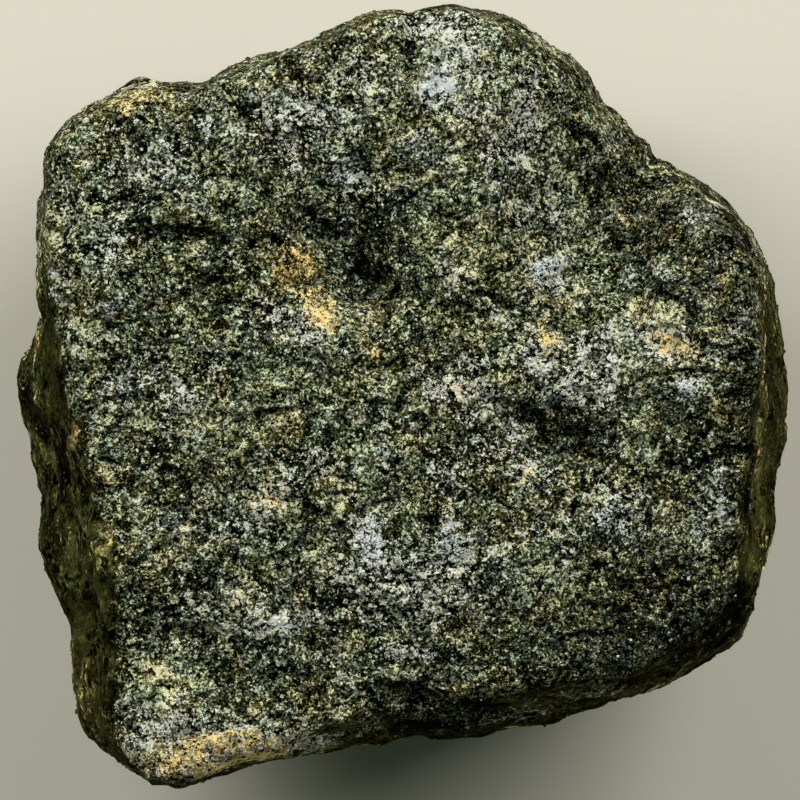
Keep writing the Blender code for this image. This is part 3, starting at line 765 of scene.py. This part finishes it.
def ore_marks(n):
    """The painted minerals with their painted shade and glints, broken up into clumps, the painted
    weathering and the metallic zones.
    """
    marks = {name: n.clumped(n.mark(name), size) for name, size in CLUMP_SIZES.items()}
    marks["weathered"] = n.mark("weathered")
    marks["broad"] = n.mark("broad")
    marks["gold"] = n.step(n.noise(2.4 * MM, 2.0, twist=0.6), 0.60, 0.70)
    marks["steel"] = n.step(n.noise(2.8 * MM, 2.0, where=n.stretched((1.0, 1.1, 0.9))), 0.60, 0.70)
    return marks


def ore_level(n, cells, marks):
    """How light each grain is, as a power of ten: single flecks, mottling and broad clouds."""
    pale, rust, weathered = marks["pale"], marks["rust"], marks["weathered"]
    fleck = n.weighted(0.0, [
        (n.centred(cells["grain"]), 1.10), (n.centred(cells["speck"]), 1.25),
        (n.centred(n.noise(0.18 * MM, 2.0)), 2.4), (n.centred(n.noise(0.28 * MM, 2.0, twist=1.0)), 2.3),
    ])
    mottle = n.weighted(0.0, [
        (n.step(cells["clump"], 0.78, 0.92), 0.50), (n.step(cells["clump"], 0.22, 0.08), -0.55),
        (n.centred(cells["cluster"]), 0.40),
        (n.centred(n.noise(0.8 * MM, 2.0, twist=1.2)), 2.2),
        (n.centred(n.noise(1.9 * MM, 3.0, twist=0.8)), 2.4),
        (n.veins(1.5 * MM, 0.035), 0.22), (n.veins(2.3 * MM, 0.025), -0.35),
    ])
    lively = n.weighted(0.38, [
        (n.step(n.noise(6.0 * MM, 2.0), 0.38, 0.62), 0.65), (pale, 0.4), (weathered, -0.3),
    ])
    # The dark marks darken by painted shade and painted shadow; the pale and blue ones lighten by painted
    # glints and edge highlights besides their minerals
    cloud = n.weighted(n.math("MULTIPLY", mottle, lively), [
        (n.centred(n.noise(4.5 * MM, 2.0)), 1.3), (n.centred(marks["broad"]), 0.6),
        (pale, 0.47), (rust, 0.42), (marks["gold"], 0.10), (marks["steel"], -0.10), (marks["dark"], -0.52),
        (n.math("MULTIPLY", pale, n.centred(cells["coarse"])), 2.0),
        (n.math("MULTIPLY", pale, marks["blue"]), 0.32), (n.math("MULTIPLY", pale, rust), 0.15),
    ])
    contrast = n.weighted(1.0, [(weathered, -0.82), (pale, 0.65)])
    light = n.weighted(n.math("MULTIPLY", fleck, contrast), [(cloud, 1.0)])
    return n.weighted(LIGHTNESS, [(light, 1.0), (weathered, RIND_DARKER)])


def rind_hue(n):
    """Tint of the weathered rind: brown and olive zones with rusty streaks."""
    streaks = n.noise(2.6 * MM, 3.0, where=n.stretched((1.0, 0.45, 0.8)))
    hue = n.mix(n.step(n.noise(3.6 * MM, 3.0), 0.42, 0.60), RIND_TINT, RIND_OLIVE_TINT)
    return n.mix(n.math("MULTIPLY", n.step(streaks, 0.58, 0.72), 0.8), hue, RIND_RUST_TINT)


def ore_hue(n, cells, marks, level):
    """Tint of each grain: soft zones of olive, grey, green and brown, then the minerals over them, with
    the white and bluish of the painted glints and highlights.
    """
    grey = n.weighted(0.0, [(n.noise(3.2 * MM, 3.0), 0.9), (cells["clump_tint"], 0.1)])
    brown = n.weighted(0.0, [(n.noise(3.8 * MM, 3.0), 0.9), (cells["cluster_tint"], 0.1)])
    hue = n.mix(n.step(grey, 0.42, 0.60), OLIVE_TINT, GREY_TINT)
    hue = n.mix(n.step(n.noise(3.6 * MM, 3.0), 0.48, 0.62), hue, GREEN_TINT)
    hue = n.mix(n.step(brown, 0.50, 0.62), hue, BROWN_TINT)
    layers = [
        (marks["gold"], 0.8, GOLD_TINT),
        (marks["steel"], 0.7, STEEL_TINT),
        (n.step(level, -1.8, -0.6), 0.68, PLAIN_TINT),
        (marks["pale"], 0.8, WHITE_TINT),
        (marks["blue"], 0.8, BLUE_TINT),
        (marks["rust"], 0.9, n.mix(n.step(cells["grain_tint"], 0.3, 0.9), RUST_TINT, STRAW_TINT)),
        (marks["weathered"], 0.9, rind_hue(n)),
    ]
    for where, cover, tint in layers:
        hue = n.mix(n.math("MULTIPLY", where, cover), hue, tint)
    return hue


def ore_material():
    """Granular ore: how light each grain is, then its tint, its roughness and its fine bump."""
    n = Nodes("granular_ore")
    cells, marks = ore_cells(n), ore_marks(n)
    level = ore_level(n, cells, marks)
    value = n.math("POWER", 10.0, n.math("MINIMUM", level, HIGHEST_LEVEL))
    value = n.math("MAXIMUM", n.math("SUBTRACT", value, BLACK_SHARE), LEAST_VALUE)
    base = n.mix(n.ramp(level, *LEVEL_RANGE), DEEP_TINT, BRIGHT_TINT)
    colour = n.scaled(n.times(ore_hue(n, cells, marks, level), base), value)
    n.set(n.shader.inputs["Base Color"], colour)

    weathered = marks["weathered"]
    rough = n.weighted(0.42, [
        (cells["grain"], -0.16), (weathered, 0.35), (marks["pale"], 0.15), (marks["rust"], 0.2),
    ])
    n.set(n.shader.inputs["Roughness"], rough)
    n.shader.inputs["Specular IOR Level"].default_value = ORE_GLOSS
    height = n.math("MULTIPLY", n.noise(ORE_BUMP, 2.0, 0.7), n.weighted(1.5, [(weathered, -1.1)]))
    n.bump(1.0, ORE_BUMP, height)
    return n.material


def grain_material(name, colours, roughness, metallic, gloss):
    """A colour for each loose grain, picked at random between two, with darker spots."""
    n = Nodes(name)
    island = n.tree.nodes.new("ShaderNodeNewGeometry").outputs["Random Per Island"]
    colour = n.mix(n.step(island, 0.1, 0.9), *colours)
    shade = tuple(SHADE_SHARE * v for v in colours[0][:3]) + (1.0,)
    colour = n.mix(n.step(n.noise(0.16 * MM, 3.0), 0.46, 0.60), colour, shade)
    n.set(n.shader.inputs["Base Color"], colour)
    n.shader.inputs["Roughness"].default_value = roughness
    n.shader.inputs["Metallic"].default_value = metallic
    n.shader.inputs["Specular IOR Level"].default_value = gloss
    n.bump(0.7, GRAIN_BUMP, n.noise(0.15 * MM, 2.0))
    return n.material


def chip_shape():
    """Corners and faces of a chip: a box that narrows to its top."""
    corners = np.array([
        (-1, -1, -1), (1, -1, -1), (1, 1, -1), (-1, 1, -1),
        (-0.6, -0.6, 1), (0.6, -0.6, 1), (0.6, 0.6, 1), (-0.6, 0.6, 1),
    ], float)
    faces = np.array([
        (3, 2, 1), (3, 1, 0), (4, 5, 6), (4, 6, 7), (0, 1, 5), (0, 5, 4),
        (1, 2, 6), (1, 6, 5), (2, 3, 7), (2, 7, 6), (3, 0, 4), (3, 4, 7),
    ])
    return corners, faces


def scatter(name, source, weights, count, size, sink, material):
    """Chips of ore set in the skin, more of them where the weights are higher."""
    centres, normals = read(source.polygons, "center"), read(source.polygons, "normal")
    chance = read(source.polygons, "area", 1)[:, 0] * weights(centres, normals)
    chosen = rng.choice(len(centres), size=count, replace=False, p=chance / chance.sum())
    centre = centres[chosen] + rng.normal(0.0, GRAIN_STRAY, (count, 3))
    up = normals[chosen] + rng.normal(0.0, GRAIN_LEAN, (count, 3))
    up /= np.linalg.norm(up, axis=1, keepdims=True)
    side = np.cross(up, rng.normal(0.0, 1.0, (count, 3)))
    side /= np.linalg.norm(side, axis=1, keepdims=True)
    front = np.cross(up, side)

    corners, faces = chip_shape()
    shape = corners[None] * (1.0 + rng.uniform(-GRAIN_KNOCKS, GRAIN_KNOCKS, (count, 8, 3)))
    spread = np.clip(rng.normal(0.0, GRAIN_SPREAD, (count, 1, 1)), *GRAIN_SPREAD_ENDS)
    reach = size * np.exp(spread) * MM / 2.0
    widths = rng.uniform(*GRAIN_WIDTHS, (count, 1, 2))
    shape *= reach * np.concatenate([widths, np.full((count, 1, 1), GRAIN_FLATNESS)], axis=2)
    shape[:, :, 2] -= sink * reach[:, :, 0]
    places = (
        centre[:, None] + shape[:, :, :1] * side[:, None] + shape[:, :, 1:2] * front[:, None]
        + shape[:, :, 2:] * up[:, None]
    )
    places[:, :, 2] = np.maximum(places[:, :, 2], GRAIN_FLOOR)
    every = (faces[None] + len(corners) * np.arange(count)[:, None, None]).reshape(-1, 3)

    mesh = bpy.data.meshes.new(name)
    mesh.from_pydata(places.reshape(-1, 3).tolist(), [], every.tolist())
    mesh.materials.append(material)
    return link(bpy.data.objects.new(name, mesh))


def near(marks, elsewhere):
    """Weights for scattering: high in the given patches, low elsewhere, none on the rind."""
    def weights(centres, normals):
        value = np.full(len(centres), elsewhere)
        for x, y, length, width, direction, strength in marks:
            value += strength ** 2 * bell(centres, x, y, length, width, direction)
        return value * (1.0 - rind(centres, 0.5))
    return weights


def anywhere(centres, normals):
    """Weights for scattering: everywhere, and less on faces that look down."""
    return 0.15 + smoothstep(normals[:, 2], -0.2, 0.4)


def build_rock():
    """The pieces that show the rock: two regions of its skin and four kinds of loose grain."""
    mesh = build_skin()
    ore = ore_material()
    face = part_of_skin(mesh, "ore_front_face", True, ore)
    back = part_of_skin(mesh, "ore_sides_and_back", False, ore)
    pale = grain_material("pale_grain", *PALE_LOOK)
    rusty = grain_material("rusty_grain", *RUSTY_LOOK)
    steel = grain_material("steel_grain", *STEEL_LOOK)
    brown = grain_material("brown_grain", *BROWN_LOOK)
    return [
        face, back,
        scatter("pale_grains", face.data, near(PALE_AND_GLINT, PALE_ELSEWHERE), *PALE_GRAINS, pale),
        scatter("rusty_grains", face.data, near(RUST, RUSTY_ELSEWHERE), *RUSTY_GRAINS, rusty),
        scatter("steel_grains", face.data, near(DARK_AND_SHADE, STEEL_ELSEWHERE), *STEEL_GRAINS, steel),
        scatter("side_grains", back.data, anywhere, *SIDE_GRAINS, brown),
    ]


def build_floor():
    bpy.ops.mesh.primitive_plane_add(size=FLOOR_SIZE)
    floor = bpy.context.object
    floor.name = "floor"
    n = Nodes("pale_floor")
    n.shader.inputs["Base Color"].default_value = FLOOR_COLOUR
    n.shader.inputs["Roughness"].default_value = FLOOR_ROUGHNESS
    floor.data.materials.append(n.material)


def aim(obj, target):
    obj.rotation_euler = (Vector(target) - obj.location).to_track_quat("-Z", "Y").to_euler()


def build_lights():
    """A weak fill from all around and two soft lights above the rock's upper corners."""
    scene = bpy.context.scene
    scene.view_settings.view_transform = "Standard"
    world = bpy.data.worlds.new("studio")
    world.use_nodes = True
    world.node_tree.nodes["Background"].inputs[0].default_value = FILL_COLOUR
    world.node_tree.nodes["Background"].inputs[1].default_value = FILL_STRENGTH
    scene.world = world
    for name, place in KEY_PLACES.items():
        light = bpy.data.lights.new(name, "AREA")
        light.shape = "RECTANGLE"
        light.size, light.size_y = KEY_SIZE
        light.energy = KEY_POWER
        key = link(bpy.data.objects.new(name, light))
        key.location = place
        aim(key, KEY_TARGET)


def build_camera():
    """A long lens straight above the rock, as in the photo."""
    camera = link(bpy.data.objects.new("camera", bpy.data.cameras.new("camera")))
    camera.data.lens = CAMERA_LENS
    camera.data.sensor_width = SENSOR
    camera.data.clip_end = VIEW_REACH
    camera.location = (*VIEW_CENTRE, VIEW_LEVEL + VIEW_WIDTH / SENSOR * CAMERA_LENS)
    bpy.context.scene.camera = camera


for piece in build_rock():
    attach(piece, "root")
    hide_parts("ilmenite_rock")
build_floor()
build_lights()
build_camera()
